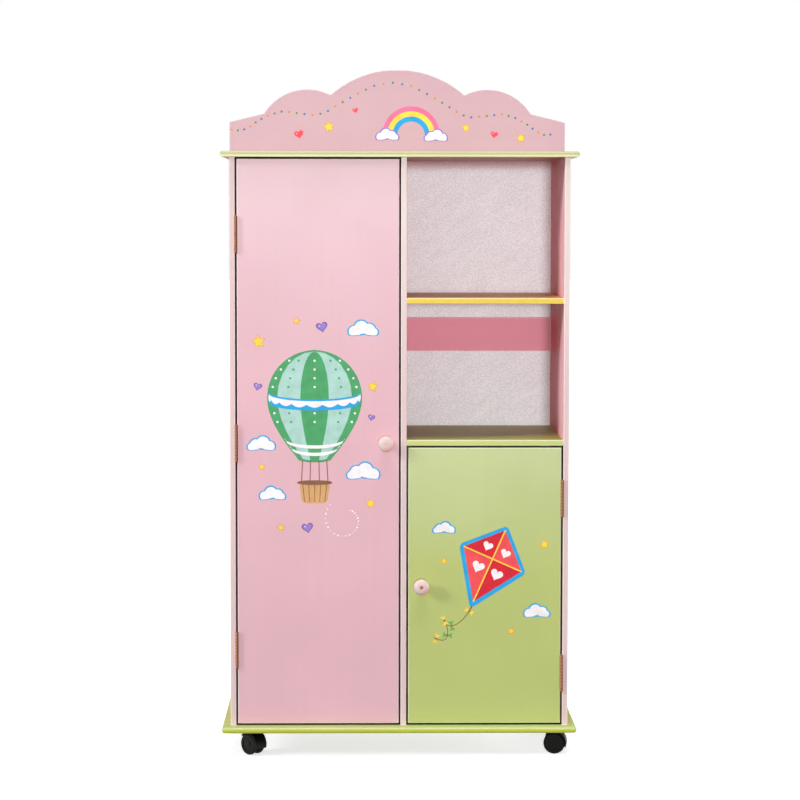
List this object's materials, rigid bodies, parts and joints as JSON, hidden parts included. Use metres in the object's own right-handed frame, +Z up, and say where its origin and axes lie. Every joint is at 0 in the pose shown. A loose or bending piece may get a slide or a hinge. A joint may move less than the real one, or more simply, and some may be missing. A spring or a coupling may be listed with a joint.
{
  "type": "kids wardrobe",
  "caption": "Painted kids wardrobe on casters with a tall hinged cupboard beside open shelf bays over a low hinged cupboard, with a scalloped headboard along the top.",
  "frame": {"origin": "on the floor, below the middle of the base board", "axes": "+X to the right seen from the front, -Y out of the doors, +Z up"},
  "size_m": [0.734, 0.41, 1.438],
  "materials": {
    "pink_paint": "satin paint",
    "green_paint": "satin paint",
    "yellow_paint": "satin paint",
    "lilac_board": "textured paint",
    "bare_wood": "bare",
    "brass_hinge": "polished",
    "chromed_tube": "polished",
    "white_plastic": "moulded",
    "brown_plastic": "moulded",
    "black_plastic": "moulded",
    "zinc_steel": "zinc plated"
  },
  "bodies": {
    "carcass": {"back_panel": "lilac_board", "back_panel_pins": "zinc_steel", "back_rail": "pink_paint", "base_board": "green_paint", "carcass_screws": "zinc_steel", "caster_kingpins": "zinc_steel", "caster_plates": "zinc_steel", "catch_magnets": "zinc_steel", "centre_divider": "pink_paint", "display_shelf": "yellow_paint", "dowels": "bare_wood", "fixed_shelf": "green_paint", "frame_screws": "zinc_steel", "hanging_rail": "chromed_tube", "headboard": "pink_paint", "hinge_pins": "brass_hinge", "left_side_panel": "pink_paint", "rail_socket_left": "white_plastic", "rail_socket_right": "white_plastic", "right_side_panel": "pink_paint", "small_door_catch": "brown_plastic", "small_hinge_frame_leaf_bottom": "brass_hinge", "small_hinge_frame_leaf_top": "brass_hinge", "tall_door_catch": "brown_plastic", "tall_hinge_frame_leaf_bottom": "brass_hinge", "tall_hinge_frame_leaf_middle": "brass_hinge", "tall_hinge_frame_leaf_top": "brass_hinge", "top_board": "green_paint"},
    "tall_door": {"tall_door": "pink_paint", "tall_door_knob": "pink_paint", "tall_door_knob_screw": "zinc_steel", "tall_door_screws": "zinc_steel", "tall_door_strike_plate": "zinc_steel", "tall_hinge_door_leaf_bottom": "brass_hinge", "tall_hinge_door_leaf_middle": "brass_hinge", "tall_hinge_door_leaf_top": "brass_hinge"},
    "small_door": {"small_door": "green_paint", "small_door_knob": "pink_paint", "small_door_knob_screw": "zinc_steel", "small_door_screws": "zinc_steel", "small_door_strike_plate": "zinc_steel", "small_hinge_door_leaf_bottom": "brass_hinge", "small_hinge_door_leaf_top": "brass_hinge"},
    "front_left_swivel": {"front_left_caster_hood": "black_plastic", "front_left_caster_axle": "zinc_steel"},
    "front_left_wheel_a": {"front_left_caster_wheel_a": "black_plastic"},
    "front_left_wheel_b": {"front_left_caster_wheel_b": "black_plastic"},
    "front_right_swivel": {"front_right_caster_hood": "black_plastic", "front_right_caster_axle": "zinc_steel"},
    "front_right_wheel_a": {"front_right_caster_wheel_a": "black_plastic"},
    "front_right_wheel_b": {"front_right_caster_wheel_b": "black_plastic"},
    "rear_left_swivel": {"rear_left_caster_hood": "black_plastic", "rear_left_caster_axle": "zinc_steel"},
    "rear_left_wheel_a": {"rear_left_caster_wheel_a": "black_plastic"},
    "rear_left_wheel_b": {"rear_left_caster_wheel_b": "black_plastic"},
    "rear_right_swivel": {"rear_right_caster_hood": "black_plastic", "rear_right_caster_axle": "zinc_steel"},
    "rear_right_wheel_a": {"rear_right_caster_wheel_a": "black_plastic"},
    "rear_right_wheel_b": {"rear_right_caster_wheel_b": "black_plastic"}
  },
  "joints": [
    {"name": "tall_door_hinge", "type": "hinge", "parent": "carcass", "child": "tall_door", "pos_m": [-0.3362, -0.1782, 0.6525], "axis": [0, 0, -1], "range_deg": [0, 180]},
    {"name": "small_door_hinge", "type": "hinge", "parent": "carcass", "child": "small_door", "pos_m": [0.3362, -0.1782, 0.356], "axis": [0, 0, 1], "range_deg": [0, 180]},
    {"name": "front_left_swivel", "type": "hinge", "parent": "carcass", "child": "front_left_swivel", "pos_m": [-0.3135, -0.143, 0.04], "axis": [0, 0, 1], "continuous": true},
    {"name": "front_left_wheel_a_roll", "type": "hinge", "parent": "front_left_swivel", "child": "front_left_wheel_a", "pos_m": [-0.30113, -0.1476, 0.0225], "axis": [0.7071, 0.7071, 0], "continuous": true},
    {"name": "front_left_wheel_b_roll", "type": "hinge", "parent": "front_left_swivel", "child": "front_left_wheel_b", "pos_m": [-0.3089, -0.15537, 0.0225], "axis": [0.7071, 0.7071, 0], "continuous": true},
    {"name": "front_right_swivel", "type": "hinge", "parent": "carcass", "child": "front_right_swivel", "pos_m": [0.3135, -0.143, 0.04], "axis": [0, 0, 1], "continuous": true},
    {"name": "front_right_wheel_a_roll", "type": "hinge", "parent": "front_right_swivel", "child": "front_right_wheel_a", "pos_m": [0.32615, -0.13922, 0.0225], "axis": [0.1392, 0.9903, 0], "continuous": true},
    {"name": "front_right_wheel_b_roll", "type": "hinge", "parent": "front_right_swivel", "child": "front_right_wheel_b", "pos_m": [0.32462, -0.15012, 0.0225], "axis": [0.1392, 0.9903, 0], "continuous": true},
    {"name": "rear_left_swivel", "type": "hinge", "parent": "carcass", "child": "rear_left_swivel", "pos_m": [-0.3135, 0.143, 0.04], "axis": [0, 0, 1], "continuous": true},
    {"name": "rear_left_wheel_a_roll", "type": "hinge", "parent": "rear_left_swivel", "child": "rear_left_wheel_a", "pos_m": [-0.30044, 0.14108, 0.0225], "axis": [0.5446, 0.8387, 0], "continuous": true},
    {"name": "rear_left_wheel_b_roll", "type": "hinge", "parent": "rear_left_swivel", "child": "rear_left_wheel_b", "pos_m": [-0.30643, 0.13185, 0.0225], "axis": [0.5446, 0.8387, 0], "continuous": true},
    {"name": "rear_right_swivel", "type": "hinge", "parent": "carcass", "child": "rear_right_swivel", "pos_m": [0.3135, 0.143, 0.04], "axis": [0, 0, 1], "continuous": true},
    {"name": "rear_right_wheel_a_roll", "type": "hinge", "parent": "rear_right_swivel", "child": "rear_right_wheel_a", "pos_m": [0.30036, 0.14424, 0.0225], "axis": [-0.5, -0.866, 0], "continuous": true},
    {"name": "rear_right_wheel_b_roll", "type": "hinge", "parent": "rear_right_swivel", "child": "rear_right_wheel_b", "pos_m": [0.30586, 0.15376, 0.0225], "axis": [-0.5, -0.866, 0], "continuous": true}
  ]
}
